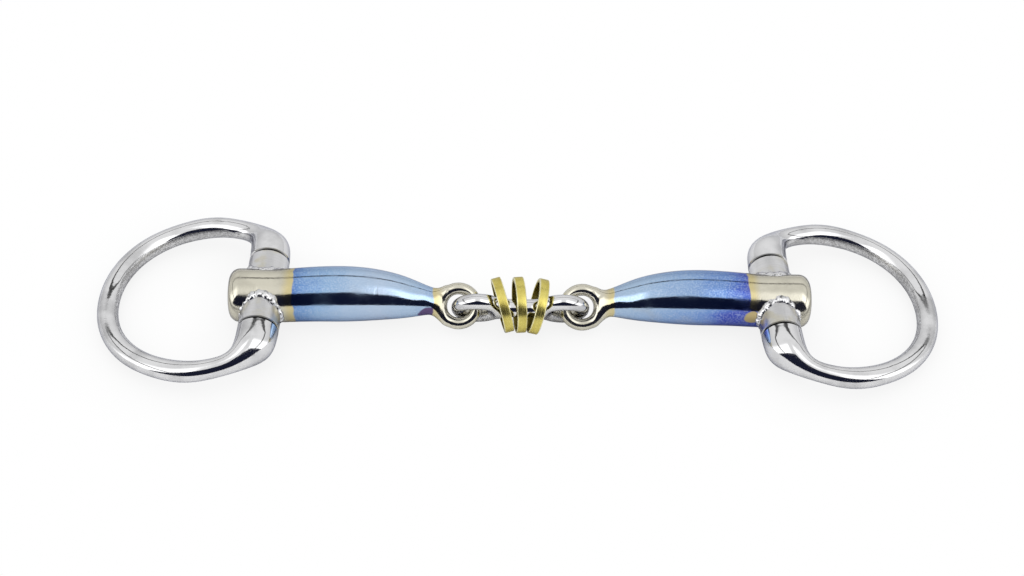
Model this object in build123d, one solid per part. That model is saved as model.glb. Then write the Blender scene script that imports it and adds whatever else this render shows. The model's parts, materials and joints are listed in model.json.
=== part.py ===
"""Snaffle bit: a double-jointed mouthpiece with egg-shaped cheek rings and three loose rings on its link.

Millimetres. The bit lies on a table: +X runs along the mouthpiece, +Y across the cheek rings and +Z up,
with the origin at the middle of the bit on the table.
"""
import os
from math import asin, atan2, copysign, cos, degrees, hypot, radians, sin

from build123d import *

# ---- driving dimensions -------------------------------------------------------------------------------
mouth_width = 135.0          # the bit's size: between the inner faces of the two barrels
barrel_diameter = 11.6       # cross tube that carries the cheek ring
barrel_length = 25.5
barrel_lip = 0.4             # chamfer round the barrel's ends
barrel_yaw = 2.6             # degrees the barrels are bored off square, so the rings swing to the back
pin_diameter = 5.2
pin_clearance = 0.05         # radial running fit of the pin in the barrel
pin_grip = 6.0               # how far the pin goes into each end of the cheek ring
ring_gap = 0.45              # between a barrel's end and the cheek ring's end

butt_diameter = 15.3         # outer end of a cannon
butt_overhang = 9.7          # beyond the hinge axis
butt_round = 3.0
arm_diameter = 15.9          # the fattest place of a cannon
neck_diameter = 7.9          # the thinnest place, just before the eye
eye_radius = 5.0             # cannon's eye, to the middle of its bar
eye_turn = 45.0              # degrees between the eye and the plane of the barrels
weld_size = 1.1

ring_reach = 45.1            # from the hinge axis to the middle of the cheek ring's far bar
ring_half_height = 27.65     # to the middle of its bar
ring_bar = 6.0
ring_widest = 16.0           # how far out the ring is at its highest
ring_squareness = 0.96       # 1 is an ellipse, less is squarer

link_eye_centre = 12.3       # from the middle of the link
link_eye_half_length = 5.6   # to the middle of the bar, along the link
link_eye_half_height = 4.9   # and across it
link_end_bar = 3.6
link_side_bar = 4.5
link_shank = 5.2
link_lean = 110.0            # degrees from +Y to the plane of its eyes
link_play = 0.95             # between the link's side bars and the bar of a cannon's eye, each side

brass_diameter = 16.0
brass_wall = 1.2
brass_width = 2.8
brass_edge = 0.2
table_gap = 0.03             # what lies on the table stays this far above its plane

# where the chain lies at rest
arm_lift = -0.1              # the hinge axis is this much above the arm's fattest radius
link_back = -3.0             # of the link, seen from the hinge line
eye_inset = 0.2              # from the middle of the link's end bar inboard to the middle of a cannon's eye
eye_forward, eye_rise = 0.37, 0.3155    # of a cannon's eye, seen from the link
# each brass ring's place along X and back from the hinge line, and its axis' turn and rise in degrees
brass_places = {
    "left": (-5.15, -2.9, 12.9, 9.0),
    "middle": (-0.3, -2.7, 5.4, -0.5),
    "right": (5.0, -3.3, -5.2, -12.0),
}

# ---- places that follow from them -----------------------------------------------------------------------
hinge_out = (mouth_width + barrel_diameter) / 2
hinge_height = arm_diameter / 2 + arm_lift
eye_bar = 2 * (link_eye_half_height - link_side_bar / 2 - link_play)
arm_length = hinge_out - (link_eye_centre + link_eye_half_length - eye_inset)
ring_tilt = degrees(asin((hinge_height - ring_bar / 2 - table_gap) / ring_reach))
hinge_back = -ring_widest * sin(radians(barrel_yaw)) * cos(radians(ring_tilt))
link_height = link_eye_half_height * sin(radians(link_lean)) + link_side_bar / 2 + table_gap
eye_back = link_back + eye_forward
eye_drop = link_height + eye_rise - hinge_height
bend_turn = degrees(atan2(eye_drop, eye_back)) + 180
bend_depth = -hypot(eye_back, eye_drop)

hinge = Vector(hinge_out, hinge_back, hinge_height)
eye_centre = Vector(hinge_out - arm_length, hinge_back + eye_back, hinge_height + eye_drop)
link_centre = Vector(0, hinge_back + link_back, link_height)
barrel_axis = Vector(-sin(radians(barrel_yaw)), cos(radians(barrel_yaw)), 0)
ring_out = Vector(barrel_axis.Y, -barrel_axis.X, 0).rotate(Axis((0, 0, 0), barrel_axis), ring_tilt)
barrel_plane = Plane(hinge, x_dir=ring_out, z_dir=barrel_axis)
ring_plane = Plane(hinge, x_dir=ring_out, z_dir=ring_out.cross(barrel_axis))


def across_x(turn):
    """The direction across the mouthpiece, turned up from +Y by so many degrees."""
    return Vector(0, cos(radians(turn)), sin(radians(turn)))


def cannon():
    """One arm: a loft through round sections whose centres bend towards the eye, and the eye."""
    butt, arm, neck = butt_diameter / 2, arm_diameter / 2, neck_diameter / 2
    neck_place = arm_length - eye_radius - eye_bar / 2 - 0.1
    # the butt: inboard distance, half width, half thickness and bend
    stations = [(-butt_overhang, butt, butt, 0), (-0.3 * butt_overhang, butt, butt, 0), (4.0, butt, butt, 0)]
    # the arm: share of the way to the neck, fullness between neck and fattest, bend as a share of the eye's
    arm_shape = [(0.205, 0.95, -0.13), (0.33, 0.985, -0.25), (0.46, 1, -0.295), (0.595, 0.92, -0.28),
                 (0.72, 0.74, -0.165), (0.83, 0.49, 0.035), (0.92, 0.19, 0.26), (1, 0, 0.535)]
    for share, fullness, bend in arm_shape:
        radius = neck + (arm - neck) * fullness
        stations.append((share * neck_place, radius, radius, bend))
    # the neck flattens into the eye's bar
    stations.append((neck_place + 1.2, neck + 0.1, eye_bar / 2 + 0.8, 0.68))
    stations.append((neck_place + 2.2, neck + 0.3, eye_bar / 2 - 0.05, 0.81))
    sections = []
    for inboard, wide, thick, bend in stations:
        centre = hinge + across_x(bend_turn) * bend * bend_depth - Vector(inboard, 0, 0)
        outline = Circle(wide) if wide == thick else Ellipse(wide, thick)
        sections.append(Plane(centre, x_dir=across_x(eye_turn), z_dir=(-1, 0, 0)) * outline)
    forging = loft(sections)
    forging = fillet(forging.edges().group_by(Axis.X)[-1], butt_round)
    forging += Plane(eye_centre, z_dir=across_x(eye_turn + 90)) * Torus(eye_radius, eye_bar / 2)
    return forging - barrel_plane * Cylinder(barrel_diameter / 2, 2 * barrel_length)


def barrel():
    """The cross tube, bored for the pin, with its ends chamfered."""
    tube = Cylinder(barrel_diameter / 2, barrel_length)
    tube = chamfer(tube.edges(), barrel_lip)
    tube -= Cylinder(pin_diameter / 2 + pin_clearance, 2 * barrel_length)
    return barrel_plane * tube


def weld(forging, end):
    """A bead in the corner round the tube: what is within the weld's size of both the tube and the butt."""
    butt = Plane(hinge, z_dir=(1, 0, 0)) * Cylinder(butt_diameter / 2, 4 * butt_overhang)
    bead = Plane(hinge, z_dir=(1, 0, 0)) * Cylinder(butt_diameter / 2 + weld_size, 4 * butt_overhang)
    bead &= barrel_plane * Cylinder(barrel_diameter / 2 + weld_size, barrel_length)
    bead -= butt
    bead -= barrel_plane * Cylinder(barrel_diameter / 2, 2 * barrel_length)
    bead -= forging
    return split(bead, bisect_by=Plane(hinge, z_dir=barrel_axis), keep=Keep.TOP if end == "far" else Keep.BOTTOM)


def hinge_pin():
    """The pin through the barrel and into both ends of the cheek ring."""
    return barrel_plane * Cylinder(pin_diameter / 2, barrel_length + 2 * (ring_gap + pin_grip))


def ring_end_stations():
    """Inner and outer edge of a cheek ring's thick end, from its face to the ring's highest place."""
    face = barrel_length / 2 + ring_gap
    end = barrel_diameter / 2
    top_in = ring_half_height - ring_bar / 2
    top_out = ring_half_height + ring_bar / 2
    # straight off the barrel, then a wide bend outside and a tight corner inside
    return [
        ((end, face), (-end, face)),
        ((end + 0.5, top_in - 4.6), (-end + 1.5, top_out - 9.9)),
        ((end + 1.5, top_in - 2.6), (-end + 5.2, top_out - 6.4)),
        ((end + 6.2, top_in - 0.6), (ring_widest - 6.4, top_out - 1.4)),
        ((ring_widest, top_in), (ring_widest, top_out)),
    ]


def ring_bar_stations():
    """Inner and outer edge of the round bar, which follows a squarish ellipse round the far side."""
    stations = []
    for turn in (90, 69, 48, 32, 16, 0, -16, -32, -48, -69, -90):
        run = (ring_reach - ring_widest) * cos(radians(turn)) ** ring_squareness
        rise = copysign(ring_half_height * abs(sin(radians(turn))) ** ring_squareness, turn)
        slope = Vector(run / (ring_reach - ring_widest) ** 2, rise / ring_half_height ** 2).normalized()
        inner = Vector(ring_widest + run, rise) - slope * ring_bar / 2
        outer = Vector(ring_widest + run, rise) + slope * ring_bar / 2
        stations.append(((inner.X, inner.Y), (outer.X, outer.Y)))
    return stations


def ring_loft(stations):
    """A loft through circles, each with the two edges at the ends of its diameter."""
    sections = []
    for inner, outer in stations:
        across = Vector(*outer) - Vector(*inner)
        middle = (Vector(*outer) + Vector(*inner)) / 2
        plane = Plane(middle, x_dir=across, z_dir=Vector(0, 0, 1).cross(across))
        sections.append(plane * Circle(across.length / 2))
    return loft(sections)


def cheek_ring():
    """The round bar between two thick ends, which are bored for the pin."""
    end = ring_loft(ring_end_stations())
    ring = ring_loft(ring_bar_stations()) + end + mirror(end, Plane.XZ)
    return ring_plane * ring - hinge_pin()


def link_half(side, up):
    """A quarter of the link's two eyes: a loft along half an ellipse, from the end bar to the shank."""
    sections = []
    for turn in (0, 30, 60, 90, 120, 150, 180):
        radius = link_end_bar / 2 + (link_side_bar - link_end_bar) / 2 * min(1, turn / 90)
        x = side * (link_eye_centre + link_eye_half_length * cos(radians(turn)))
        y = up * link_eye_half_height * sin(radians(turn))
        run = -side * link_eye_half_length * sin(radians(turn))
        rise = up * link_eye_half_height * cos(radians(turn))
        sections.append(Plane((x, y, 0), x_dir=(0, 0, 1), z_dir=(run, rise, 0)) * Circle(radius))
    return loft(sections)


def centre_link():
    """The dog-bone link: a round shank between two eyes that lie in one plane."""
    reach = link_eye_centre - link_eye_half_length + link_side_bar / 4
    link = Plane.YZ * Cylinder(link_shank / 2, 2 * reach)
    for side in (-1, 1):
        for up in (-1, 1):
            link += link_half(side, up)
    return Plane(link_centre, x_dir=(1, 0, 0), z_dir=across_x(link_lean - 90)) * link


def brass_plane(place):
    """Where a brass ring stands: on the table, turned and leant against the link."""
    out, back, yaw, pitch = brass_places[place]
    reach = brass_diameter / 2 * cos(radians(pitch)) + brass_width / 2 * abs(sin(radians(pitch)))
    level = Vector(cos(radians(yaw)), sin(radians(yaw)), 0)
    axis = level * cos(radians(pitch)) + Vector(0, 0, sin(radians(pitch)))
    return Plane((out, hinge_back + back, reach + table_gap), z_dir=axis)


def brass_ring(place):
    """A flat loose ring with its edges broken."""
    ring = Cylinder(brass_diameter / 2, brass_width)
    ring -= Cylinder(brass_diameter / 2 - brass_wall, 2 * brass_width)
    ring = chamfer(ring.edges().filter_by(GeomType.CIRCLE), brass_edge)
    return brass_plane(place) * ring


arm = cannon()
right_side = {
    "cannon": arm,
    "barrel": barrel(),
    "weld_near": weld(arm, "near"),
    "weld_far": weld(arm, "far"),
    "hinge_pin": hinge_pin(),
    "cheek_ring": cheek_ring(),
}
pieces = {"centre_link": centre_link()}
for name, shape in right_side.items():
    pieces["right_" + name] = shape
    pieces["left_" + name] = mirror(shape, Plane.YZ)
for place in brass_places:
    pieces["brass_ring_" + place] = brass_ring(place)

os.makedirs("parts", exist_ok=True)
for name, shape in pieces.items():
    export_step(shape, "parts/" + name + ".step")
    box = shape.bounding_box()
    print(f"{name:20s} {shape.volume:9.1f} mm3  {box.min}  {box.max}")
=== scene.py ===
"""Snaffle bit: blued arms with forged eyes, barrels and egg-shaped cheek rings, a link and three brass rings.

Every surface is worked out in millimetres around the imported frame, and put into its mesh in metres.
"""
import json
from math import asin, cos, pi, radians, sin

import bmesh
import bpy
import numpy as np
from mathutils import Matrix, Vector


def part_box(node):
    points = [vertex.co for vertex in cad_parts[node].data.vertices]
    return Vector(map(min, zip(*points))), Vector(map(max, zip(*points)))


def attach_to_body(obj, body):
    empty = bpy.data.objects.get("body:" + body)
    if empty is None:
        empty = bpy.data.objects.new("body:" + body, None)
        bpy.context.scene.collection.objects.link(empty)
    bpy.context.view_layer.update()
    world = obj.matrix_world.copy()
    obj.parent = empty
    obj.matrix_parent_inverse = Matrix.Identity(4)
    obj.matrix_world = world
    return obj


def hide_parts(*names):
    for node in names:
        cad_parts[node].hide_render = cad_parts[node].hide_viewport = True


bl_info = {
    "name": "Snaffle bit",
    "version": (1, 0, 0),
    "blender": (4, 5, 0),
    "location": "3D View > Sidebar > Snaffle",
    "description": "Double-jointed bit with heat-blued arms, cheek rings and three loose brass rings",
    "category": "Object",
}

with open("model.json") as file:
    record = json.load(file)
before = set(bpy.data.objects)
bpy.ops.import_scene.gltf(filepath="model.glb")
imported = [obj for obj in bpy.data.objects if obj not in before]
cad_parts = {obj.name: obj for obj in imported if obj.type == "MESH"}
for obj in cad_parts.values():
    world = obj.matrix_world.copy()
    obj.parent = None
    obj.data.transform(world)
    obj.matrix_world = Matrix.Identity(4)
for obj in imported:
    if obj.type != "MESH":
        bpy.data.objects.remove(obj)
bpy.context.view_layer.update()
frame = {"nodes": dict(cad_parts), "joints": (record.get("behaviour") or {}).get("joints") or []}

MM = 0.001
SIDES = {"right": 1.0, "left": -1.0}
X, Y, Z = np.eye(3)
JOINTS = {joint["name"]: joint for joint in frame["joints"]}


# ---- sizes and colours that a user would change ----

def length(name, description, default):
    """A size in metres, given in millimetres."""
    return bpy.props.FloatProperty(name=name, description=description, default=default * MM, min=0.0,
                                   unit="LENGTH", precision=5)


def amount(name, description, default):
    """A plain number."""
    return bpy.props.FloatProperty(name=name, description=description, default=default, min=0.0)


def linear_light(screen):
    """A colour in linear light, given as it looks on a screen from 0 to 255."""
    return tuple(((v / 255 + 0.055) / 1.055) ** 2.4 if v > 10 else v / 255 / 12.92 for v in screen)


def colour(name, description, default):
    """A colour, given as it looks on a screen."""
    return bpy.props.FloatVectorProperty(name=name, description=description, subtype="COLOR", size=3,
                                         default=linear_light(default), min=0.0, max=1.0)


class SnaffleSizes(bpy.types.PropertyGroup):
    """Sizes of the bit's pieces."""
    eye_radius: length("Eye radius", "A cannon's eye, to the middle of its bar", 5.0)
    eye_bar: length("Eye bar", "Diameter of the bar of a cannon's eye", 3.4)
    eye_blend: length("Eye blend", "How softly the neck runs into its eye", 2.4)
    butt_round: length("Butt round", "Radius round the outer end of a cannon", 3.0)
    barrel_lip: length("Barrel lip", "Bevel of a barrel's ends", 0.55)
    pin_bore: length("Pin bore", "Diameter of the bore through a barrel", 5.3)
    weld_bead: length("Weld bead", "Radius of the bead round a barrel", 1.75)
    ring_bar: length("Ring bar", "Diameter of a cheek ring's bar", 6.0)
    link_end_bar: length("Link end bar", "Diameter of the link at its ends", 3.6)
    link_side_bar: length("Link side bar", "Diameter of the link beside its eyes", 4.5)
    link_shank: length("Link shank", "Diameter of the link's shank", 5.2)
    link_blend: length("Link blend", "How softly the shank runs into its eyes", 2.2)
    brass_wall: length("Brass wall", "Thickness of a brass ring's wall", 1.2)
    brass_width: length("Brass width", "Width of a brass ring", 2.8)
    brass_edge: length("Brass edge", "Broken edge of a brass ring", 0.32)


class SnaffleColours(bpy.types.PropertyGroup):
    """Colours of the metals and of the studio."""
    steel: colour("Steel", "Polished stainless steel", (228, 228, 229))
    steel_worn: colour("Worn steel", "Stainless steel where it is dulled", (200, 200, 201))
    warm_steel: colour("Warm steel", "Bare ends of the cannons", (216, 212, 196))
    straw: colour("Straw", "First heat colour, beside the bare steel", (212, 199, 152))
    brass: colour("Brass", "Brushed brass", (230, 217, 124))
    brass_dark: colour("Dark brass", "Tarnish on the brass", (196, 178, 86))
    floor: colour("Floor", "Studio floor", (250, 250, 250))


class SnaffleStudio(bpy.types.PropertyGroup):
    """The studio round the bit."""
    light: amount("Light", "Strength of the soft boxes", 1.0)
    floor_shade: amount("Floor shade", "Tone of the floor beside the bit", 0.84)
    lens: amount("Lens", "Camera lens in millimetres on a 36 mm film", 62.47)


# ---- working out surfaces ----

def millimetres(vector):
    """A frame position in millimetres."""
    return np.array(vector, float) / MM


def across_x(turn):
    """The direction across the mouthpiece, turned up from +Y by so many degrees."""
    return cos(radians(turn)) * Y + sin(radians(turn)) * Z


def spline(knots, values, places):
    """The cubic that bends least through values at the knots: a linear system gives its bends there."""
    knots, places = np.asarray(knots, float), np.asarray(places, float)
    values = np.asarray(values, float).reshape(len(knots), -1)
    step = np.diff(knots)
    inner = np.arange(1, len(knots) - 1)
    system = np.eye(len(knots))
    system[inner, inner - 1] = step[:-1]
    system[inner, inner] = 2 * (step[:-1] + step[1:])
    system[inner, inner + 1] = step[1:]
    pull = np.zeros_like(values)
    pull[inner] = 6 * np.diff(np.diff(values, axis=0) / step[:, None], axis=0)
    bend = np.linalg.solve(system, pull)
    span = np.clip(np.searchsorted(knots, places) - 1, 0, len(step) - 1)
    wide = step[span][..., None]
    late = (places - knots[span])[..., None] / wide
    early = 1 - late
    return (early * values[span] + late * values[span + 1]
            + ((early ** 3 - early) * bend[span] + (late ** 3 - late) * bend[span + 1]) * wide ** 2 / 6)


def soft_union(first, second, blend):
    """The lesser of two distances, rounded where they differ by less than blend."""
    near = np.maximum(blend - np.abs(first - second), 0) / blend
    return np.minimum(first, second) - near ** 2 * blend / 4


def ellipse_distance(across, along, half_across, half_along):
    """About how far points are from an ellipse: (g - 1) g over the slope of g, which is 1 on the ellipse."""
    reach = np.maximum(np.sqrt((across / half_across) ** 2 + (along / half_along) ** 2), 1e-6)
    slope = np.sqrt((across / half_across ** 2) ** 2 + (along / half_along ** 2) ** 2)
    return (reach - 1) * reach / np.maximum(slope, 1e-6)


def settle(points, field, steps=12):
    """Moves points down the field's slope until the field is nought there."""
    reach = 1e-4
    for _ in range(steps):
        slope = np.stack([(field(points + reach * d) - field(points - reach * d)) / (2 * reach)
                          for d in (X, Y, Z)], -1)
        points = points - (field(points) / np.maximum((slope ** 2).sum(-1), 1e-3))[..., None] * slope
    return points


def circle_rows(centres, across, over, radii, columns):
    """Circles as rows of points: centre + radius (cos turn across + sin turn over)."""
    turn = (np.arange(columns) * 2 * pi / columns)[None, :, None]
    across, over = np.broadcast_to(across, centres.shape), np.broadcast_to(over, centres.shape)
    spoke = np.cos(turn) * across[:, None] + np.sin(turn) * over[:, None]
    return centres[:, None] + radii[:, None, None] * spoke


def loop_faces(loops, wrap=False):
    """Four-sided faces between each loop of vertex numbers and the next, round the loops."""
    after = np.roll(loops, -1, axis=0)
    if not wrap:
        loops, after = loops[:-1], after[:-1]
    return np.stack([loops, after, np.roll(after, -1, axis=1), np.roll(loops, -1, axis=1)], -1).reshape(-1, 4)


def pole_faces(loop, pole):
    """Three-sided faces from a loop to one vertex."""
    return np.stack([loop, np.roll(loop, -1), np.full(len(loop), pole)], -1)


def tube(rows):
    """Points and faces of rows of points, closed by a pole at each end."""
    count, columns = rows.shape[:2]
    loops = np.arange(count * columns).reshape(count, columns)
    points = np.vstack([rows.reshape(-1, 3), rows[0].mean(0), rows[-1].mean(0)])
    first, last = count * columns, count * columns + 1
    caps = pole_faces(loops[0], first).tolist() + pole_faces(loops[-1], last).tolist()
    return points, loop_faces(loops).tolist() + caps


def revolved(profile, columns):
    """A closed profile of (along, out) points turned round +Z: points and faces."""
    rows = circle_rows(profile[:, :1] * Z, X, Y, profile[:, 1], columns)
    loops = np.arange(len(rows) * columns).reshape(-1, columns)
    return rows.reshape(-1, 3), loop_faces(loops, wrap=True).tolist()


def ring_wall(half_width, inner, outer, edge_in, edge_out, steps=5, shallow=1.0):
    """The profile of a ring's wall, its four corners cut by quarter ellipses; two steps make a flat bevel."""
    turn = np.linspace(0, pi / 2, steps)
    parts = []
    for number, (along, out) in enumerate(((1, 1), (-1, 1), (-1, -1), (1, -1))):
        edge = edge_out if out > 0 else edge_in
        size = np.array([edge * shallow, edge])
        middle = np.array([along * (half_width - size[0]), outer - edge if out > 0 else inner + edge])
        angle = number * pi / 2 + turn
        parts.append(middle + size * np.stack([np.cos(angle), np.sin(angle)], -1))
    return np.vstack(parts)


def placed(points, centre, axis, side=X):
    """Points turned so that +Z lies along axis and +X near side, and moved to centre."""
    axis = axis / np.linalg.norm(axis)
    first = side - axis * (side @ axis)
    first /= np.linalg.norm(first)
    return centre + points @ np.stack([first, np.cross(axis, first), axis])


# ---- the cannons ----

BUTT_RADIUS, ARM_RADIUS, NECK_RADIUS = 7.65, 7.95, 3.95
BUTT_OVERHANG = 9.7  # from the hinge to the butt's outer end
BUTT_STATIONS = (-2.9, 4.0)  # how far inboard of the hinge the butt is still a round bar
NECK_FLAT, NECK_HALF_THICK = 0.95, 3.1
EYE_TURN = 45.0  # how far an eye is turned up from lying flat, in degrees
EYE_FROM_LINK = (0.37, 0.3155)  # how far back of and above the link's middle an eye's middle lies
# share of the way to the neck, fullness between neck and fattest, bend as a share of the eye's
ARM_SHAPE = ((0.205, 0.95, -0.13), (0.33, 0.985, -0.25), (0.46, 1, -0.295), (0.595, 0.92, -0.28),
             (0.72, 0.74, -0.165), (0.83, 0.49, 0.035), (0.92, 0.19, 0.26), (1, 0, 0.535))
# past the neck, inside the eye: how far inboard of the neck, half width, half thickness, bend
ARM_TIP = ((1.2, 4.05, 2.1, 0.68), (2.2, 4.25, 1.0, 0.81))
NECK_RUN = 4.0  # how far outboard of the neck its columns start to turn to the eye
RING_STEPS, BAR_STEPS = 96, 32  # the grid of an eye, round it and round its bar
HOLE_RING, HOLE_BAR = 11, 9  # half the opening in that grid where the shaft comes in


def eye_grid(centre, towards, wide, normal, half_towards, half_wide, bar):
    """An eye: centre + ellipse + bar radius (cos out + sin normal), on a grid of turns round eye and bar."""
    ring = np.arange(RING_STEPS) * 2 * pi / RING_STEPS
    turn = np.arange(BAR_STEPS) * 2 * pi / BAR_STEPS
    cosine, sine = np.cos(ring)[:, None], np.sin(ring)[:, None]
    middle = centre + half_towards * cosine * towards + half_wide * sine * wide
    out = cosine / half_towards * towards + sine / half_wide * wide
    out /= np.linalg.norm(out, axis=1, keepdims=True)
    across = np.cos(turn)[None, :, None] * out[:, None] + np.sin(turn)[None, :, None] * normal
    return middle[:, None] + bar(ring)[:, None, None] * across


def eye_opening():
    """Grid numbers round the opening towards the shaft, and which faces of the eye's grid stay."""
    up = np.arange(-HOLE_BAR, HOLE_BAR)
    back = np.arange(HOLE_RING, -HOLE_RING, -1)
    ring = np.concatenate([np.full(len(up), HOLE_RING), back, np.full(len(up), -HOLE_RING), -back])
    bar = np.concatenate([up, np.full(len(back), HOLE_BAR), -up, np.full(len(back), -HOLE_BAR)])
    loop = (ring % RING_STEPS) * BAR_STEPS + bar % BAR_STEPS
    i, j = np.meshgrid(np.arange(RING_STEPS), np.arange(BAR_STEPS), indexing="ij")
    signed_i = (i + RING_STEPS // 2) % RING_STEPS - RING_STEPS // 2
    signed_j = (j + BAR_STEPS // 2) % BAR_STEPS - BAR_STEPS // 2
    inside = ((signed_i >= -HOLE_RING) & (signed_i < HOLE_RING)
              & (signed_j >= -HOLE_BAR) & (signed_j < HOLE_BAR))
    return loop, ~inside.reshape(-1)


OPENING, KEPT = eye_opening()
COLUMNS = len(OPENING)
# the turns round a shaft of the columns that meet the opening in its eye
SHAFT_TURNS = -pi * HOLE_BAR * 2 / COLUMNS + np.arange(COLUMNS) * 2 * pi / COLUMNS


def joined_faces(loops, eye_start):
    """The faces of a shaft's loops, and of the eye that they meet round its opening."""
    grid = eye_start + np.arange(RING_STEPS * BAR_STEPS).reshape(RING_STEPS, BAR_STEPS)
    return [loop_faces(np.vstack([loops, eye_start + OPENING])), loop_faces(grid, wrap=True)[KEPT]]


def without_strays(points, faces):
    """Drops the points that no face uses, and renumbers the faces."""
    used = np.zeros(len(points), bool)
    for face in faces:
        used[face.reshape(-1)] = True
    number = np.cumsum(used) - 1
    return points[used], [row for face in faces for row in number[face].tolist()]


def cannon_surface(hinge, eye, sizes):
    """One arm, for the right side: a shaft of ellipses on a bent middle line, whose neck settles on its eye.

    The shaft's radius and bend are splines of the distance inboard of the hinge. Where shaft and eye meet,
    points lie where the soft union of their distances is nought."""
    eye_radius, eye_bar = sizes.eye_radius / MM, sizes.eye_bar / MM / 2
    wide, normal = across_x(EYE_TURN), across_x(EYE_TURN + 90)
    arm_length = hinge[0] - eye[0]
    neck = arm_length - eye_radius - eye_bar - 0.1
    bend_full = (eye - hinge) * (0, 1, 1)
    shares, fullness, arm_bends = zip(*ARM_SHAPE)
    tip_at, tip_wide, tip_thick, tip_bends = zip(*ARM_TIP)
    arm_at, tip_at = neck * np.array(shares), neck + np.array(tip_at)
    inboard = np.array([-BUTT_OVERHANG, *BUTT_STATIONS, *arm_at, *tip_at])
    half_wide = [BUTT_RADIUS] * 3 + [NECK_RADIUS + (ARM_RADIUS - NECK_RADIUS) * full for full in fullness]
    half_thick = half_wide[:-2] + [NECK_FLAT * half_wide[-2], NECK_HALF_THICK, *tip_thick]
    half_wide = half_wide + [*tip_wide]
    bends = [0, 0, 0, *arm_bends, *tip_bends]
    shape = np.stack([half_wide, half_thick, bends], -1)

    def section(at):
        found = spline(inboard, shape, np.clip(at, inboard[0], inboard[-1]))
        return found[..., 0], found[..., 1], found[..., 2]

    def field(points):
        at = hinge[0] - points[..., 0]
        w, t, bend = section(at)
        off = points - hinge - bend[..., None] * bend_full
        shaft = np.maximum(ellipse_distance(off @ wide, off @ normal, w, t), at - inboard[-1] + 0.2)
        off = points - eye
        around = np.hypot(off[..., 0], off @ wide) - eye_radius
        return soft_union(shaft, np.hypot(around, off @ normal) - eye_bar, sizes.eye_blend / MM)

    edge = sizes.butt_round / MM
    face_share = np.array([0.12, 0.3, 0.55, 0.8])
    turn = np.linspace(0, pi / 2, 12)
    face_at = np.concatenate([0 * face_share, edge * (1 - np.cos(turn))]) - BUTT_OVERHANG
    flat = BUTT_RADIUS - edge
    face_radius = np.concatenate([flat * face_share, flat + edge * np.sin(turn)])
    at = np.concatenate([face_at, np.linspace(face_at[-1], neck - NECK_RUN, 118)[1:]])
    w, t, bend = section(at)
    w[:len(face_radius)] = t[:len(face_radius)] = face_radius
    rows = ((hinge - at[:, None] * X + bend[:, None] * bend_full)[:, None]
            + (w[:, None] * np.cos(SHAFT_TURNS))[..., None] * wide
            + (t[:, None] * np.sin(SHAFT_TURNS))[..., None] * normal)
    grid = eye_grid(eye, X, wide, normal, eye_radius, eye_radius, lambda ring: np.full(len(ring), eye_bar))
    ring_points = grid.reshape(-1, 3)
    share = (np.arange(1, 20) / 20)[:, None, None]
    blends = rows[-1] + (ring_points[OPENING] - rows[-1]) * share
    ring_points = settle(ring_points, field)
    blends = settle(blends, field)
    points = np.vstack([rows.reshape(-1, 3), blends.reshape(-1, 3), ring_points, rows[0].mean(0)])
    loops = np.arange((len(rows) + len(blends)) * COLUMNS).reshape(-1, COLUMNS)
    return without_strays(points, [*joined_faces(loops, loops.size), pole_faces(loops[0], len(points) - 1)])


# ---- the link ----

LINK_EYE_CENTRE, LINK_EYE_HALF_LENGTH, LINK_EYE_HALF_HEIGHT = 12.3, 5.6, 4.9
SHANK_REACH = 2.2  # half the length of the shank that is a plain round bar


def link_surface(centre, height_way, sizes):
    """The dog-bone link: a round shank whose ends settle softly on two elliptical eyes in one plane."""
    end_bar, side_bar = sizes.link_end_bar / MM / 2, sizes.link_side_bar / MM / 2
    shank, blend = sizes.link_shank / MM / 2, sizes.link_blend / MM
    normal = np.cross(X, height_way)

    def bar(turn):
        return end_bar + (side_bar - end_bar) * np.where(np.cos(turn) > 0, 1, np.abs(np.sin(turn)))

    def field(points):
        off = points - centre
        out = np.abs(off[..., 0]) - LINK_EYE_CENTRE
        up, level = off @ height_way, off @ normal
        turn = np.arctan2(up / LINK_EYE_HALF_HEIGHT, -out / LINK_EYE_HALF_LENGTH)
        ring = ellipse_distance(out, up, LINK_EYE_HALF_LENGTH, LINK_EYE_HALF_HEIGHT)
        eye = np.hypot(ring, level) - bar(turn)
        stem = np.maximum(np.hypot(up, level) - shank, out + LINK_EYE_HALF_LENGTH)
        return soft_union(stem, eye, blend)

    eye = eye_grid(centre + LINK_EYE_CENTRE * X, -X, height_way, normal,
                   LINK_EYE_HALF_LENGTH, LINK_EYE_HALF_HEIGHT, bar).reshape(-1, 3)
    turns = SHAFT_TURNS
    at = np.linspace(0, SHANK_REACH, 8)
    rows = (centre + at[:, None, None] * X + shank * (np.cos(turns)[None, :, None] * height_way
                                                     + np.sin(turns)[None, :, None] * normal))
    share = (np.arange(1, 16) / 16)[:, None, None]
    blends = rows[-1] + (eye[OPENING] - rows[-1]) * share
    half = settle(np.vstack([blends.reshape(-1, 3), eye]), field)
    right = np.vstack([rows[1:].reshape(-1, 3), half])
    left = (right - centre) * (-1, 1, 1) + centre
    points = np.vstack([rows[0], right, left])
    count = len(rows) - 1 + len(blends)
    middle = np.arange(COLUMNS)[None]
    faces = []
    for start in (COLUMNS, COLUMNS + len(right)):
        loops = start + np.arange(count * COLUMNS).reshape(-1, COLUMNS)
        faces += joined_faces(np.vstack([middle, loops]), start + count * COLUMNS)
    return without_strays(points, faces)


# ---- the cheek rings ----

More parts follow.
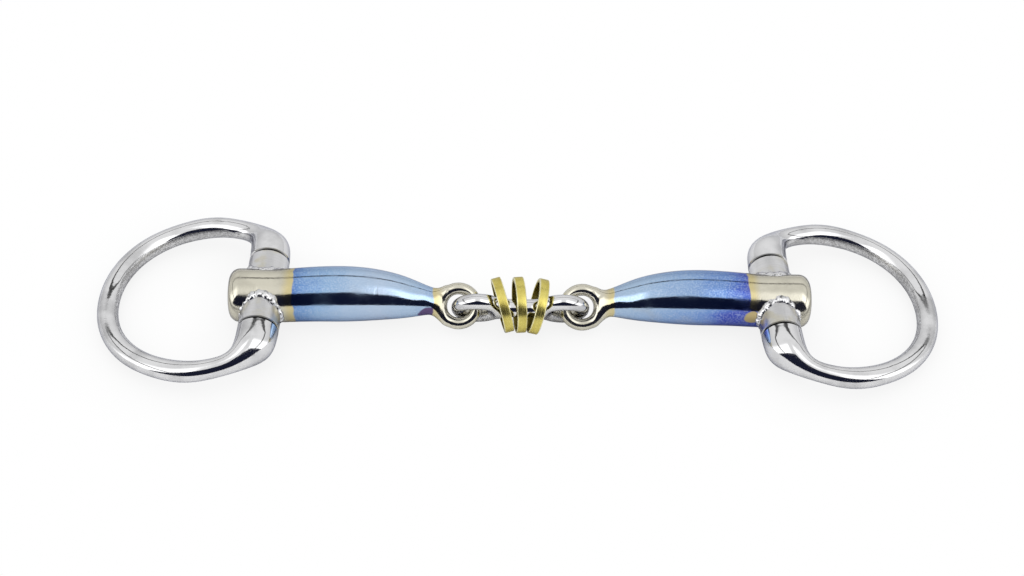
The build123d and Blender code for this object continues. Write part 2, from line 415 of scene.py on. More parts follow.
BARREL_WEAR = 0.17  # how far a barrel's end has worn back
LIP_SHALLOW = 0.4  # a bevel's length along the barrel for each millimetre across it
WELD_SUNK = 0.75  # how deep the middle of a bead lies in the barrel and in the butt
BOX_SPARE = 0.08  # how far a ring's widest line stays inside its size
RING_REACH, RING_HALF_HEIGHT, RING_WIDEST, RING_SQUARENESS = 45.1, 27.65, 16.0, 0.96
BARREL_RADIUS, BARREL_HALF_LENGTH, RING_GAP = 5.8, 12.75, 0.45


def ring_stations(bar):
    """Inner and outer edges (out, along) of a whole cheek ring, from one end face round to the other: a thick
    end by stations, a round bar on half a superellipse, and the other thick end."""
    face, end = BARREL_HALF_LENGTH + RING_GAP, BARREL_RADIUS
    top_in, top_out = RING_HALF_HEIGHT - bar, RING_HALF_HEIGHT + bar
    thick = np.array([
        (end, face, -end, face),
        (end + 0.1, (face + top_in) / 2 - 2.2, -end + 0.25, (face + top_in) / 2 - 2.2),
        (end + 0.5, top_in - 4.6, -end + 1.5, top_out - 9.9),
        (end + 1.5, top_in - 2.6, -end + 5.2, top_out - 6.4),
        (end + 6.2, top_in - 0.6, RING_WIDEST - 6.4, top_out - 1.4),
    ])
    turn = np.radians((90, 69, 48, 32, 16, 0, -16, -32, -48, -69, -90))
    run = (RING_REACH - RING_WIDEST) * np.cos(turn).clip(0) ** RING_SQUARENESS
    rise = RING_HALF_HEIGHT * np.sign(turn) * np.abs(np.sin(turn)) ** RING_SQUARENESS
    slope = np.stack([run / (RING_REACH - RING_WIDEST) ** 2, rise / RING_HALF_HEIGHT ** 2], -1)
    slope *= bar / np.linalg.norm(slope, axis=1, keepdims=True)
    middle = np.stack([RING_WIDEST + run, rise], -1)
    round_bar = np.hstack([middle - slope, middle + slope])
    return np.vstack([thick, round_bar, thick[::-1] * (1, -1, 1, -1)])


def cheek_ring_surface(sizes, columns=64):
    """The ring in its own plane (out, along, up): circles that stand on its inner and outer edge lines.

    Also gives how far each point faces into the ring, about 0 to 1, a little less near the thick ends."""
    stations = ring_stations(sizes.ring_bar / MM / 2)
    middles = (stations[:, :2] + stations[:, 2:]) / 2
    knots = np.concatenate([[0], np.cumsum(np.linalg.norm(np.diff(middles, axis=0), axis=1))])
    edges = spline(knots, stations, np.linspace(0, knots[-1], 420))
    face = BARREL_HALF_LENGTH + RING_GAP
    limit = RING_HALF_HEIGHT + sizes.ring_bar / MM / 2 - BOX_SPARE
    squeeze = (limit - face) / (np.abs(edges[:, 3]).max() - face)
    along = edges[:, 1::2]
    squeezed = np.sign(along) * (face + (np.abs(along) - face) * squeeze)
    edges[:, 1::2] = np.where(np.abs(along) > face, squeezed, along)
    inner, outer = edges[:, :2], edges[:, 2:]
    radii = np.linalg.norm(outer - inner, axis=1) / 2
    out = (outer - inner) / (2 * radii[:, None])
    middle = np.hstack([(inner + outer) / 2, np.zeros((len(edges), 1))])
    out = np.hstack([out, np.zeros((len(edges), 1))])
    rows = circle_rows(middle, out, Z, radii, columns)[2:-2]
    lip = sizes.barrel_lip / MM
    flat = BARREL_RADIUS - lip
    caps = []
    for way in (1, -1):
        at = np.array([0, 0, 0, 0, LIP_SHALLOW * lip]) * way
        size = np.array([0.15, 0.5, 0.8, 1, BARREL_RADIUS / flat]) * flat
        centres = np.stack([0 * at, way * face + at, 0 * at], -1)
        caps.append(circle_rows(centres, -X, Z, size, columns))
    rows = np.concatenate([caps[0], rows, caps[1][::-1]])
    points, faces = tube(rows)
    turn = np.arange(columns) * 2 * pi / columns
    facing = np.tile(0.5 - 0.5 * np.cos(turn), (len(rows), 1))
    reach = 0.91 + 0.09 * np.clip((rows[..., 0] - 5.5) / 9, 0, 1)
    reach = reach + 0.035 * (1 - np.abs(rows[..., 1]) / limit) * (reach > 0.99)
    return points, faces, np.concatenate([(facing * reach).reshape(-1), [0, 0]])


# ---- the welds ----

def weld_surface(end, bead, seed):
    """A bead round the barrel's root, in its own frame (across, along, up): a tube along the line where the
    barrel leaves the butt, y = sqrt(butt^2 - (barrel cos)^2), swollen by ripples and lumps."""
    turn = np.linspace(0, 2 * pi, 480, endpoint=False)
    rng = np.random.default_rng(seed)
    waves = ((2, 0.05), (3, 0.05), (5, 0.04), (7, 0.04), (11, 0.03), (17, 0.03), (23, 0.02))
    phases = rng.uniform(0, 2 * pi, len(waves))
    lump = sum(strength * np.sin(number * turn + phase) for (number, strength), phase in zip(waves, phases))
    scale = np.abs(np.sin(15 * turn + 1.8 * np.sin(2 * turn + seed) + 1.1 * np.sin(5 * turn)))
    size = bead * (0.92 + 1.6 * lump + 0.02 * scale)
    radial = np.stack([np.sin(turn), 0 * turn, np.cos(turn)], -1)
    along = np.sqrt(BUTT_RADIUS ** 2 - (BARREL_RADIUS * np.cos(turn)) ** 2)
    middle = (BARREL_RADIUS - WELD_SUNK) * radial + end * (along - WELD_SUNK)[:, None] * Y
    rows = circle_rows(middle, radial, end * Y, size, 48)
    around = np.arange(48) * 2 * pi / 48
    grain = (0.02 * np.sin(61 * turn[:, None] + 4 * np.sin(3 * around)[None])
             + 0.025 * np.sin(37 * turn[:, None] - 3 * around[None] + seed)
             + 0.025 * np.sin(23 * turn[:, None] + 5 * around[None] + 2 * seed))
    out = rows - middle[:, None]
    return rows + out / np.linalg.norm(out, axis=-1, keepdims=True) * grain[..., None]


# ---- meshes ----

def make_object(name, points, faces, material, sharp=None, **attributes):
    """A closed mesh with smooth faces that point outwards, and attributes kept at its points."""
    mesh = bpy.data.meshes.new(name)
    mesh.from_pydata((points * MM).tolist(), [], faces)
    builder = bmesh.new()
    builder.from_mesh(mesh)
    bmesh.ops.recalc_face_normals(builder, faces=builder.faces)
    if builder.calc_volume(signed=True) <= 0:
        raise RuntimeError(name + " is inside out")
    builder.to_mesh(mesh)
    builder.free()
    mesh.shade_smooth()
    if sharp:
        mesh.set_sharp_from_angle(angle=radians(sharp))
    for key, values in attributes.items():
        values = np.asarray(values, np.float32)
        vector = values.ndim == 2
        attribute = mesh.attributes.new(key, "FLOAT_VECTOR" if vector else "FLOAT", "POINT")
        attribute.data.foreach_set("vector" if vector else "value", values.reshape(-1))
    mesh.materials.append(material)
    piece = bpy.data.objects.new(name, mesh)
    bpy.context.scene.collection.objects.link(piece)
    return piece


def attach(piece, body, slot, *nodes):
    """The piece moves with its body and stands for its CAD nodes, which are hidden. The slot is not used."""
    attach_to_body(piece, body)
    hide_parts(*nodes)


# ---- materials ----

EDGE_TINT = (0.55, 0.56, 0.62, 1)  # what the metals reflect where they are seen edge on
# painted shade: near black, put on a barrel's ends as the shade in the gap to its ring
GAP_SHADE = (0.02, 0.02, 0.02, 1)


def node(tree, kind, inputs=(), **settings):
    """A shader node with its settings, and its inputs given as values or as sockets to link."""
    made = tree.nodes.new("ShaderNode" + kind)
    for key, value in settings.items():
        setattr(made, key, value)
    for key, value in dict(inputs).items():
        if isinstance(value, bpy.types.NodeSocket):
            tree.links.new(value, made.inputs[key])
        else:
            made.inputs[key].default_value = value
    return made


def maths(tree, operation, first, second=0.0):
    """The value of a Math node."""
    return node(tree, "Math", {0: first, 1: second}, operation=operation).outputs[0]


def plus(tree, first, second):
    """The sum of two values."""
    return maths(tree, "ADD", first, second)


def times(tree, first, second):
    """The product of two values."""
    return maths(tree, "MULTIPLY", first, second)


def mixed(tree, share, first, second):
    """A colour between two."""
    return node(tree, "Mix", {0: share, 6: first, 7: second}, data_type="RGBA").outputs[2]


def spread(tree, value, low, high, to_low=0.0, to_high=1.0):
    """A value's range turned into another, smoothly and held at its ends."""
    return node(tree, "MapRange", {"Value": value, "From Min": low, "From Max": high, "To Min": to_low,
                                   "To Max": to_high}, interpolation_type="SMOOTHSTEP").outputs[0]


def noise(tree, place, scale, detail=3.0, roughness=0.55, stretch=(1, 1, 1)):
    """Cloudy noise over a place, which may be stretched."""
    if stretch != (1, 1, 1):
        place = node(tree, "Mapping", {"Vector": place, "Scale": stretch}).outputs[0]
    made = node(tree, "TexNoise", {"Vector": place, "Scale": scale, "Detail": detail, "Roughness": roughness})
    return made.outputs[0]


def handling_group():
    """Marks of use on metal: hairline scratches in two directions, and cloudy dull patches."""
    tree = bpy.data.node_groups.new("Handling marks", "ShaderNodeTree")
    for title, way, kind in (("Place", "INPUT", "Vector"), ("Scratch Scale", "INPUT", "Float"),
                             ("Patch Scale", "INPUT", "Float"), ("Height", "OUTPUT", "Float"),
                             ("Dull", "OUTPUT", "Float")):
        tree.interface.new_socket(title, in_out=way, socket_type="NodeSocket" + kind)
    given, wanted = tree.nodes.new("NodeGroupInput").outputs, tree.nodes.new("NodeGroupOutput").inputs
    lines = []
    for stretch in ((1.0, 0.08, 0.5), (0.1, 1.0, 0.7)):
        warp = node(tree, "Mapping", {0: given["Place"], "Scale": stretch, "Rotation": (0.3, 0.2, 0.5)})
        made = node(tree, "TexNoise", {0: warp.outputs[0], "Scale": given["Scratch Scale"], "Detail": 2.0})
        lines.append(spread(tree, made.outputs[0], 0.62, 0.74))
    patches = node(tree, "TexNoise", {0: given["Place"], "Scale": given["Patch Scale"], "Detail": 4.0})
    scratches = maths(tree, "MAXIMUM", *lines)
    tree.links.new(times(tree, scratches, -1.0), wanted["Height"])
    tree.links.new(spread(tree, patches.outputs[0], 0.42, 0.68), wanted["Dull"])


def handled(tree, place, scratch, patch):
    """The marks of use, placed in a material at its own scales."""
    inputs = {"Place": place, "Scratch Scale": scratch, "Patch Scale": patch}
    return node(tree, "Group", inputs, node_tree=bpy.data.node_groups["Handling marks"]).outputs


def painted(tree, name, output="Fac"):
    """An attribute at a piece's points; own_place holds the point's place in its piece's own frame."""
    return node(tree, "Attribute", attribute_name=name).outputs[output]


def empty_tree(owner):
    """The node tree of a material or a world, with nothing in it."""
    owner.use_nodes = True
    owner.node_tree.nodes.clear()
    return owner.node_tree


def new_material(name):
    """A material with a metal Principled shader, darker where it is seen edge on: its tree, the shader and
    the Object place."""
    material = bpy.data.materials.new(name)
    tree = empty_tree(material)
    shader = node(tree, "BsdfPrincipled", {"Metallic": 1.0, "Specular Tint": EDGE_TINT})
    node(tree, "OutputMaterial", {"Surface": shader.outputs[0]})
    return material, tree, shader, node(tree, "TexCoord").outputs["Object"]


def dress(tree, shader, tone, rough, height, strength, distance):
    """Gives the shader its colour and roughness, and raises its surface by a height."""
    bump = node(tree, "Bump", {"Height": height, "Strength": strength, "Distance": distance})
    for name, value in (("Base Color", tone), ("Roughness", rough), ("Normal", bump.outputs[0])):
        tree.links.new(value, shader.inputs[name])


def rgba(values, share=1.0):
    """A colour, or a share of its light, with its alpha."""
    return (*(share * v for v in values), 1.0)


def polished_steel(name, colours, rough_inside_and_shade=False, roughness=0.08, dull=0.15):
    """Polished stainless steel with hairlines and dulled patches; a ring's inside is left rough and darker,
    and on the link the underside is rough with painted shade.
    """
    material, tree, shader, place = new_material(name)
    marks = handled(tree, place, 520.0, 110.0)
    tone = mixed(tree, marks["Dull"], rgba(colours.steel), rgba(colours.steel_worn))
    rough = spread(tree, marks["Dull"], 0.0, 1.0, roughness, dull)
    wave = times(tree, noise(tree, place, 260.0, 2.0, 0.5), 7.0)
    height = plus(tree, marks["Height"], wave)
    if rough_inside_and_shade:
        inside = painted(tree, "inside")
        edge = noise(tree, place, 260.0, 2.0)
        mask = spread(tree, plus(tree, inside, times(tree, edge, 0.05)), 0.945, 0.965)
        grit = noise(tree, place, 1500.0, 4.0, 0.7)
        rough = node(tree, "Mix", {0: mask, 2: rough, 3: 0.36}).outputs[0]
        # on the link this darker tone lies on its underside: rough cast with painted shade under the link
        tone = mixed(tree, times(tree, mask, spread(tree, grit, 0.35, 0.7)), tone,
                     rgba(colours.steel_worn, 0.62))
        height = plus(tree, height, times(tree, times(tree, mask, grit), 7.0))
    dress(tree, shader, tone, rough, height, 0.25, 0.00002)
    return material


def satin_steel(name, colours):
    """Stainless steel with the fine rings of a lathe round its own axis, and painted shade on its ends, where
    the gap to the ring lies.
    """
    material, tree, shader, place = new_material(name)
    marks = handled(tree, place, 480.0, 160.0)
    turned = noise(tree, painted(tree, "own_place", "Vector"), 60.0, 3.0, 0.6, stretch=(2.0, 2.0, 60.0))
    tone = mixed(tree, spread(tree, marks["Dull"], 0.0, 1.0), rgba(colours.steel), rgba(colours.warm_steel))
    tone = mixed(tree, spread(tree, turned, 0.3, 0.8, 0.0, 0.35), tone, rgba(colours.steel_worn))
    # painted shade: the barrel's ends are made near black, as the shade in the gap to the ring
    tone = mixed(tree, painted(tree, "grime"), tone, GAP_SHADE)
    rough = spread(tree, marks["Dull"], 0.0, 1.0, 0.28, 0.42)
    dress(tree, shader, tone, rough, plus(tree, turned, marks["Height"]), 0.3, 0.00003)
    return material


def weld_steel(name, colours):
    """Bright, lumpy weld metal with fine frozen ripples and dark specks."""
    material, tree, shader, place = new_material(name)
    lumps = noise(tree, place, 620.0, 5.0, 0.62)
    specks = spread(tree, noise(tree, place, 900.0, 3.0), 0.52, 0.66)
    tone = mixed(tree, specks, rgba(colours.steel), rgba(colours.steel_worn, 0.35))
    dress(tree, shader, tone, spread(tree, lumps, 0.3, 0.7, 0.1, 0.25), lumps, 0.7, 0.00024)
    return material


def tint_ramp(tree, along, stops):
    """Heat colours along an arm, from its neck to its butt."""
    ramp = tree.nodes.new("ShaderNodeValToRGB")
    elements = ramp.color_ramp.elements
    while len(elements) > 1:
        elements.remove(elements[0])
    for number, (place, screen) in enumerate(stops):
        element = elements[0] if number == 0 else elements.new(place)
        element.position = place
        element.color = rgba(linear_light(screen))
    tree.links.new(along, ramp.inputs[0])
    return ramp.outputs[0]


FLOOR_HALF = 3.0  # half a side of the floor, in metres
FLOOR_SHADE_REACH = 0.018  # how far from the bit the floor is shaded, in metres

# heat colours from the neck (0) to the butt (1) on each arm, as they look on a screen
HEAT = {
    "left": ((0.0, (160, 186, 220)), (0.12, (174, 199, 226)), (0.35, (184, 203, 227)),
             (0.6, (176, 200, 228)), (0.8, (150, 184, 222)), (0.92, (112, 152, 208)), (1.0, (84, 124, 192))),
    "right": ((0.0, (166, 189, 216)), (0.15, (168, 193, 220)), (0.35, (158, 186, 220)),
              (0.6, (137, 170, 216)), (0.8, (112, 148, 210)), (0.93, (82, 110, 198)), (1.0, (66, 82, 184))),
}
BLUE_FROM = {"left": 24.9, "right": 26.7}  # where the blue starts and ends, from the bit's middle
BLUE_TO = {"left": 64.7, "right": 64.8}
BLUE_EDGE = 0.25  # half the width of the blue's soft edge
BLUE_DROOP = {"left": -0.8, "right": 5.4}  # how much further out the blue ends low on the near side
STRAW_WIDTH = 2.4
# where, how far round it and in which colour a spot is painted: the right one is a gold heat spot, the left
# dark purple one is a painted reflection of the shade under the arm
HEAT_AND_SHADE_SPOTS = {
    "left": (((-25.6, -6.4, 5.6), 3.3, (0.13, 0.09, 0.20)),),
    "right": (((66.1, -8.2, 8.8), 2.1, (0.52, 0.42, 0.21)),),
}


def blued_cannon(side, colours):
    """Steel tinted by heat: blue along the arm, straw at the ends of the blue, bare warm steel beyond."""
    material, tree, shader, place = new_material(side + "_cannon_steel")
    marks = handled(tree, place, 450.0, 130.0)
    split = node(tree, "SeparateXYZ", {0: place}).outputs
    waver = times(tree, maths(tree, "SUBTRACT", noise(tree, place, 190.0, 2.0), 0.5), 0.0022)
    out = plus(tree, maths(tree, "ABSOLUTE", split["X"]), waver)
    low, high = BLUE_FROM[side] * MM, BLUE_TO[side] * MM
    far_high = plus(tree, split["Y"], split["Z"])
    droop = spread(tree, far_high, 0.0015, 0.005, BLUE_DROOP[side] * MM, 0.0)
    outer = maths(tree, "SUBTRACT", out, times(tree, droop, spread(tree, out, 0.05, 0.06)))
    along = node(tree, "MapRange", {"Value": out, "From Min": low, "From Max": high}).outputs[0]
    cloud = times(tree, maths(tree, "SUBTRACT", noise(tree, place, 110.0, 4.0), 0.5), 0.35)
    ramp_place = plus(tree, along, plus(tree, cloud, times(tree, droop, 32.0)))
    blue = tint_ramp(tree, ramp_place, HEAT[side])
    stain = spread(tree, noise(tree, place, 85.0, 3.0, 0.5, stretch=(0.6, 1, 1)), 0.56, 0.66, 0.0, 0.5)
    stain = times(tree, stain, spread(tree, along, 0.6, 0.8, 1.0, 0.0))
    blue = mixed(tree, stain, blue, rgba((0.38, 0.42, 0.49)))
    grain = noise(tree, place, 2600.0, 2.0, 0.6)
    blue = mixed(tree, spread(tree, grain, 0.4, 0.7, 0.0, 0.38), blue, rgba((0.62, 0.72, 0.86)))
    bare = mixed(tree, marks["Dull"], rgba(colours.warm_steel), rgba(colours.warm_steel, 0.86))
    edge = BLUE_EDGE * MM
    straw_in = spread(tree, out, low - STRAW_WIDTH * 1.4 * MM, low - 0.4 * MM)
    straw_out = spread(tree, outer, high + 0.8 * MM, high + STRAW_WIDTH * 1.6 * MM, 1.0, 0.0)
    bare = mixed(tree, times(tree, straw_in, straw_out), bare, rgba(colours.straw))
    mask = times(tree, spread(tree, out, low - edge, low + edge),
                 spread(tree, outer, high - edge, high + edge, 1.0, 0.0))
    # the left spot is painted reflected shade from the floor under the arm; the right one is heat tint
    for centre, radius, tint in HEAT_AND_SHADE_SPOTS[side]:
        away = node(tree, "VectorMath", {0: place, 1: [v * MM for v in centre]}, operation="DISTANCE")
        away = plus(tree, away.outputs["Value"], waver)
        spot = spread(tree, away, radius * MM - edge, radius * MM + edge, 1.0, 0.0)
        blue = mixed(tree, spot, blue, rgba(tint))
    tone = mixed(tree, mask, bare, blue)
    rough = spread(tree, marks["Dull"], 0.0, 1.0, 0.10, 0.2)
    hammered = times(tree, noise(tree, place, 170.0, 2.0, 0.4, stretch=(0.5, 1, 1)), 5.0)
    height = plus(tree, marks["Height"], times(tree, grain, 1.2))
    dress(tree, shader, tone, rough, plus(tree, height, hammered), 0.3, 0.00003)
    return material


def brushed_brass(name, colours):
    """Brass brushed round the ring, with tarnish, a painted highlight along its outer edges and painted shade
    in its bore.
    """
    material, tree, shader, place = new_material(name)
    own = painted(tree, "own_place", "Vector")
    brushed = noise(tree, own, 90.0, 4.0, 0.65, stretch=(1.5, 1.5, 50.0))
    tarnish = noise(tree, place, 260.0, 4.0, 0.6)
    edge = painted(tree, "edge")
    dark = rgba(colours.brass_dark)
    tone = mixed(tree, spread(tree, tarnish, 0.35, 0.75, 0.0, 0.8), rgba(colours.brass), dark)
    tone = mixed(tree, spread(tree, brushed, 0.35, 0.7, 0.0, 0.35), tone, dark)
    # painted highlight: the outer edges are made pale yellow
    tone = mixed(tree, edge, tone, rgba((1.0, 0.96, 0.66)))
    # painted shade: the bore is darkened to about a third of the dark brass, varied a little by the tarnish
    bore = painted(tree, "bore")
    tone = mixed(tree, times(tree, bore, spread(tree, tarnish, 0.2, 0.5, 0.75, 1.0)), tone,
                 rgba(colours.brass_dark, 0.36))
    dress(tree, shader, tone, spread(tree, brushed, 0.3, 0.75, 0.24, 0.4), brushed, 0.35, 0.00004)
    return material


def pale_floor(colours, shade):
    """A matt pale floor, which the light and the bit's reflections meet. Seen straight it is a clear film
    over the white studio that takes only the soft shade close to the bit, so an arm below it shows."""
    material = bpy.data.materials.new("studio_floor")
    tree = empty_tree(material)
    paper = noise(tree, node(tree, "TexCoord").outputs["Object"], 30.0, 2.0)
    paper = spread(tree, paper, 0.3, 0.7, 0.0, 0.03)
    white = mixed(tree, paper, rgba(colours.floor), rgba(colours.floor, 0.9))
    lit = node(tree, "BsdfDiffuse", {"Color": white})
    open_sky = node(tree, "AmbientOcclusion", {"Distance": FLOOR_SHADE_REACH}, samples=16).outputs["AO"]
    tone = mixed(tree, open_sky, (shade, shade, shade, 1), (1, 1, 1, 1))
    film = node(tree, "BsdfTransparent", {"Color": tone})
    seen = node(tree, "LightPath").outputs["Is Camera Ray"]
    both = node(tree, "MixShader", {0: seen, 1: lit.outputs[0], 2: film.outputs[0]})
    node(tree, "OutputMaterial", {"Surface": both.outputs[0]})
    return material


OPENING_RISE = 1.5  # how high the dark opening in front reaches, as its tangent
BOX_ASIDE, BOX_BACK = 0.72, 1.376  # how far the overhead box reaches to the sides and back, as cotangents
GAP_RATIO, GAP_LIGHT = 1.24, 0.05  # how wide the gap round that box is, and its light
LAMP_LIGHT = 0.9  # what the lamps high at the sides add
ROOM = (0.011, 0.013, 0.030, 1)  # the dark room in front


def studio_world(strength):
    """Soft boxes by direction: one overhead, boards behind and beside it past a thin gap, and the dark side
    in front, which the polished metal shows as a dark band."""
    world = bpy.data.worlds.new("studio")
    bpy.context.scene.world = world
    tree = empty_tree(world)
    x, y, z = node(tree, "SeparateXYZ", {0: node(tree, "TexCoord").outputs["Generated"]}).outputs
    aside = maths(tree, "ABSOLUTE", x)
    front = times(tree, y, -1.0)
    opening = maths(tree, "SUBTRACT", maths(tree, "SUBTRACT", times(tree, front, OPENING_RISE), z), aside)
    dark = spread(tree, opening, 0.0, 0.06)
    lamps = times(tree, spread(tree, opening, -1.35, -0.7), spread(tree, aside, 0.1, 0.26))
    rim = maths(tree, "MAXIMUM", times(tree, aside, BOX_ASIDE), times(tree, y, BOX_BACK))
    gap = times(tree, spread(tree, maths(tree, "SUBTRACT", rim, z), 0.0, 0.02),
                spread(tree, maths(tree, "SUBTRACT", times(tree, z, GAP_RATIO), rim), 0.0, 0.02))
    board = plus(tree, spread(tree, z, 0.0, 0.8, 0.72, 0.92), times(tree, lamps, LAMP_LIGHT))
    light = node(tree, "Mix", {0: gap, 2: board, 3: GAP_LIGHT}).outputs[0]
    shade = mixed(tree, dark, node(tree, "CombineColor", {0: light, 1: light, 2: light}).outputs[0], ROOM)
    seen = node(tree, "LightPath").outputs["Is Camera Ray"]
    shade = mixed(tree, seen, shade, (1, 1, 1, 1))
    background = node(tree, "Background", {"Color": shade, "Strength": strength})
    node(tree, "OutputWorld", {"Surface": background.outputs[0]})
    return world


# ---- operators ----

BRASS_RADIUS = 8.0


def chosen(context):
    """The sizes and colours set in the panel."""
    return context.scene.snaffle_sizes, context.scene.snaffle_colours


def hinge_of(side):
    """A hinge's place, and the axis of its barrel, which points to +Y."""
    joint = JOINTS[side + "_cheek_swing"]
    axis = np.array(joint["axis"], float)
    return millimetres(joint["pos_m"]), axis if axis[1] > 0 else -axis


def link_place():
    """The middle of the link, and the way across its eyes."""
    joint = JOINTS["right_arm_fold"]
    place = millimetres(joint["pos_m"]) * (0, 1, 1)
    normal = np.array(joint["axis"], float)
    return place, np.cross(normal if normal[1] < 0 else -normal, X)


class SNAFFLE_OT_cannons(bpy.types.Operator):
    """Make the two blued arms with their eyes"""
    bl_idname = "snaffle.cannons"
    bl_label = "Cannons"

    def execute(self, context):
        sizes, colours = chosen(context)
        hinge, _ = hinge_of("right")
        link, _ = link_place()
        inner_end = millimetres(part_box("right_cannon")[0])[0]
        eye = np.array([inner_end + (sizes.eye_radius + sizes.eye_bar / 2) / MM,
                        link[1] + EYE_FROM_LINK[0], link[2] + EYE_FROM_LINK[1]])
        points, faces = cannon_surface(hinge, eye, sizes)
        for side, sign in SIDES.items():
            piece = make_object(side + "_cannon_forging", points * (sign, 1, 1), faces,
                                blued_cannon(side, colours))
            attach(piece, side + "_arm", "blued_iron", side + "_cannon")
        return {"FINISHED"}


class SNAFFLE_OT_barrels(bpy.types.Operator):
    """Make the cross tubes that carry the cheek rings"""
    bl_idname = "snaffle.barrels"
    bl_label = "Barrels"

    def execute(self, context):
        sizes, colours = chosen(context)
        material = satin_steel("barrel_steel", colours)
        profile = ring_wall(BARREL_HALF_LENGTH - BARREL_WEAR, sizes.pin_bore / MM / 2, BARREL_RADIUS, 0.15,
                            sizes.barrel_lip / MM, steps=2, shallow=LIP_SHALLOW)
        points, faces = revolved(profile, 128)
        # painted shade: the ends of each barrel, beside the gap to the ring, are marked for near black
        grime = np.abs(points[:, 2]) > BARREL_HALF_LENGTH - BARREL_WEAR - 0.05
        for side in SIDES:
            hinge, axis = hinge_of(side)
            piece = make_object(side + "_barrel_tube", placed(points, hinge, axis), faces, material, sharp=20,
                                own_place=points * MM, grime=grime)
            attach(piece, side + "_arm", "stainless", side + "_barrel")
        return {"FINISHED"}


class SNAFFLE_OT_welds(bpy.types.Operator):
    """Make the weld beads round the barrels"""
    bl_idname = "snaffle.welds"
    bl_label = "Weld beads"

    def execute(self, context):
        sizes, colours = chosen(context)
        material = weld_steel("weld_bead_steel", colours)
        for side, sign in SIDES.items():
            hinge, axis = hinge_of(side)
            across = np.cross(axis, Z)
            for number, (end, way) in enumerate((("near", -1), ("far", 1))):
                rows = weld_surface(way, sizes.weld_bead / MM, number + (3 if sign < 0 else 1))
                loops = np.arange(rows.shape[0] * rows.shape[1]).reshape(rows.shape[:2])
                points = hinge + rows.reshape(-1, 3) @ np.stack([across, axis, Z])
                faces = loop_faces(loops, wrap=True).tolist()
                piece = make_object(f"{side}_weld_bead_{end}", points, faces, material)
                attach(piece, side + "_arm", "weld_steel", f"{side}_weld_{end}")
        return {"FINISHED"}


class SNAFFLE_OT_cheek_rings(bpy.types.Operator):
    """Make the egg-shaped cheek rings, and finish the pins in their ends"""
    bl_idname = "snaffle.cheek_rings"
    bl_label = "Cheek rings"

    def execute(self, context):
        sizes, colours = chosen(context)
        material = polished_steel("cheek_ring_steel", colours, rough_inside_and_shade=True)
        pin_material = polished_steel("hinge_pin_steel", colours, roughness=0.2, dull=0.35)
        points, faces, inside = cheek_ring_surface(sizes)
        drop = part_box("right_cheek_ring")
        hinge, axis = hinge_of("right")
        tilt = asin((hinge[2] - sizes.ring_bar / MM / 2 - drop[0].z / MM) / RING_REACH)
        for side, sign in SIDES.items():
            hinge, axis = hinge_of(side)
            level = np.cross(axis, Z) * sign
            out = cos(tilt) * level - sin(tilt) * Z
            up = np.cross(out, axis) * sign
            piece = make_object(side + "_cheek_ring_bar", hinge + points @ np.stack([out, axis, up]), faces,
                                material, sharp=20, inside=inside)
            attach(piece, side + "_cheek", "stainless", side + "_cheek_ring")
            pin = frame["nodes"][side + "_hinge_pin"]
            pin.data.materials.clear()
            pin.data.materials.append(pin_material)
        return {"FINISHED"}


class SNAFFLE_OT_centre_link(bpy.types.Operator):
    """Make the dog-bone link between the arms"""
    bl_idname = "snaffle.centre_link"
    bl_label = "Centre link"

    def execute(self, context):
        sizes, colours = chosen(context)
        centre, height_way = link_place()
        points, faces = link_surface(centre, height_way, sizes)
        material = polished_steel("link_steel", colours, rough_inside_and_shade=True, roughness=0.06, dull=0.14)
        # painted shade with rough cast: the link's underside, more than about 2.4 mm below its middle, is
        # marked for the rough, darker finish
        shaded_rough_underside = 0.95 + 0.2 * (-(points - centre) @ height_way - 2.4)
        attach(make_object("dog_bone_link", points, faces, material, inside=shaded_rough_underside), "link", "stainless",
               "centre_link")
        return {"FINISHED"}


class SNAFFLE_OT_brass_rings(bpy.types.Operator):
    """Make the three loose brass rings"""
    bl_idname = "snaffle.brass_rings"
    bl_label = "Brass rings"

    def execute(self, context):
        sizes, colours = chosen(context)
        material = brushed_brass("brushed_brass", colours)
        half, edge = sizes.brass_width / MM / 2, sizes.brass_edge / MM
        inner = BRASS_RADIUS - sizes.brass_wall / MM
        points, faces = revolved(ring_wall(half, inner, BRASS_RADIUS, edge * 0.7, edge), 160)
        out = np.hypot(points[:, 0], points[:, 1])
        # painted highlight: marks the outer edges of the band, which are made pale yellow
        edge_highlight = np.clip((np.abs(points[:, 2]) - half + 0.9 * edge) / (0.5 * edge), 0, 1)
        edge_highlight *= out > BRASS_RADIUS - 1.2 * edge
        for place in ("left", "middle", "right"):
            joint = JOINTS[f"brass_{place}_spin"]
            centre, axis = millimetres(joint["pos_m"]), np.array(joint["axis"], float)
            # painted shade: the bore is marked to be darkened
            piece = make_object(f"brass_ring_{place}_band", placed(points, centre, axis), faces, material,
                                sharp=50, own_place=points * MM, edge=edge_highlight, bore=out < inner + 0.05)
            attach(piece, "brass_" + place, "brass", "brass_ring_" + place)
        return {"FINISHED"}


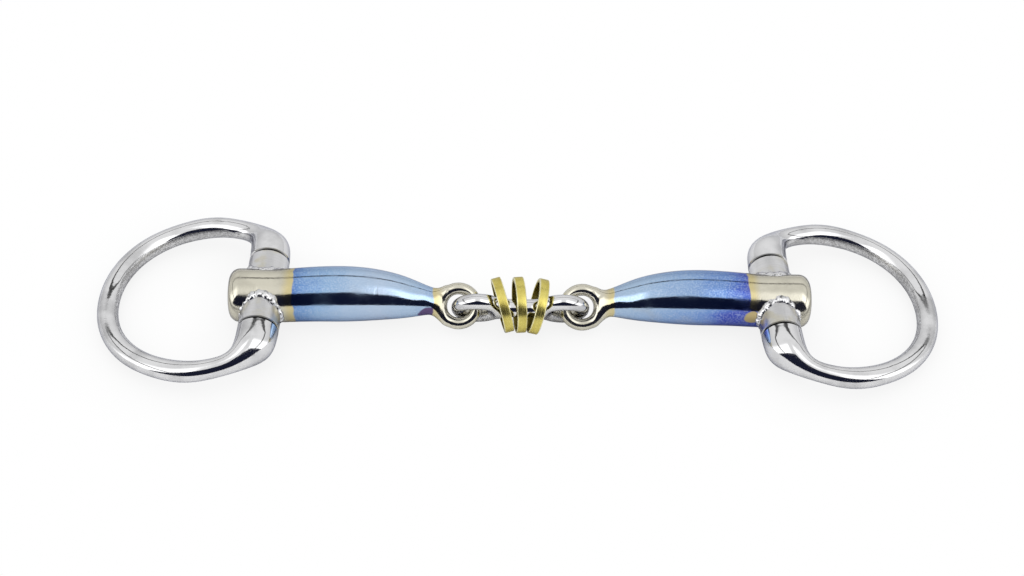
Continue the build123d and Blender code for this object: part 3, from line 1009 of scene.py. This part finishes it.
class SNAFFLE_OT_studio(bpy.types.Operator):
    """Make the floor, the soft boxes and the camera"""
    bl_idname = "snaffle.studio"
    bl_label = "Studio"

    def execute(self, context):
        colours, studio = context.scene.snaffle_colours, context.scene.snaffle_studio
        mesh = bpy.data.meshes.new("studio_floor")
        corners = FLOOR_HALF * np.array([(-1, -1, 0), (1, -1, 0), (1, 1, 0), (-1, 1, 0)])
        mesh.from_pydata(corners.tolist(), [], [(0, 1, 2, 3)])
        mesh.materials.append(pale_floor(colours, studio.floor_shade))
        floor = bpy.data.objects.new("studio_floor", mesh)
        context.scene.collection.objects.link(floor)
        studio_world(studio.light)
        camera = bpy.data.cameras.new("camera")
        camera.lens, camera.sensor_width = studio.lens, 36.0
        camera.clip_start, camera.clip_end = 0.01, 20.0
        eye = bpy.data.objects.new("camera", camera)
        context.scene.collection.objects.link(eye)
        eye.matrix_world = camera_place(CAMERA)
        context.scene.camera = eye
        context.scene.view_settings.view_transform = "Standard"
        return {"FINISHED"}


CAMERA = {"target": (-2.08, 10.17, 0.0), "down": 48.19, "turn": 2.251, "roll": 2.301, "distance": 522.6}


def camera_place(view):
    """The camera's matrix: it looks down at the target from in front, turned and rolled a little."""
    down, turn, roll = radians(view["down"]), radians(view["turn"]), radians(view["roll"])
    right = cos(turn) * X - sin(turn) * Y
    level = sin(turn) * X + cos(turn) * Y
    forward = level * cos(down) - Z * sin(down)
    up = level * sin(down) + Z * cos(down)
    axes = np.stack([cos(roll) * right + sin(roll) * up, cos(roll) * up - sin(roll) * right, -forward])
    matrix = Matrix([[*axes[:, i], 0] for i in range(3)] + [[0, 0, 0, 1]])
    matrix.translation = Vector((np.array(view["target"]) - forward * view["distance"]) * MM)
    return matrix


class SNAFFLE_PT_panel(bpy.types.Panel):
    """Lists the pieces of the snaffle bit"""
    bl_idname = "SNAFFLE_PT_panel"
    bl_label = "Snaffle bit"
    bl_space_type = "VIEW_3D"
    bl_region_type = "UI"
    bl_category = "Snaffle"

    def draw(self, context):
        for group in ("snaffle_sizes", "snaffle_colours", "snaffle_studio"):
            settings = getattr(context.scene, group)
            box = self.layout.box()
            for key in settings.bl_rna.properties.keys():
                if key not in ("name", "rna_type"):
                    box.prop(settings, key)
        for operator in OPERATORS:
            self.layout.operator(operator.bl_idname)


OPERATORS = (SNAFFLE_OT_studio, SNAFFLE_OT_cannons, SNAFFLE_OT_barrels, SNAFFLE_OT_welds,
             SNAFFLE_OT_cheek_rings, SNAFFLE_OT_centre_link, SNAFFLE_OT_brass_rings)
GROUPS = {"snaffle_sizes": SnaffleSizes, "snaffle_colours": SnaffleColours, "snaffle_studio": SnaffleStudio}


def register():
    for group in (*GROUPS.values(), *OPERATORS, SNAFFLE_PT_panel):
        bpy.utils.register_class(group)
    for name, group in GROUPS.items():
        setattr(bpy.types.Scene, name, bpy.props.PointerProperty(type=group))


def unregister():
    for name in GROUPS:
        delattr(bpy.types.Scene, name)
    for group in reversed((*GROUPS.values(), *OPERATORS, SNAFFLE_PT_panel)):
        bpy.utils.unregister_class(group)


def main():
    register()
    handling_group()
    for operator in OPERATORS:
        family, name = operator.bl_idname.split(".")
        getattr(getattr(bpy.ops, family), name)()


if __name__ == "__main__":
    main()
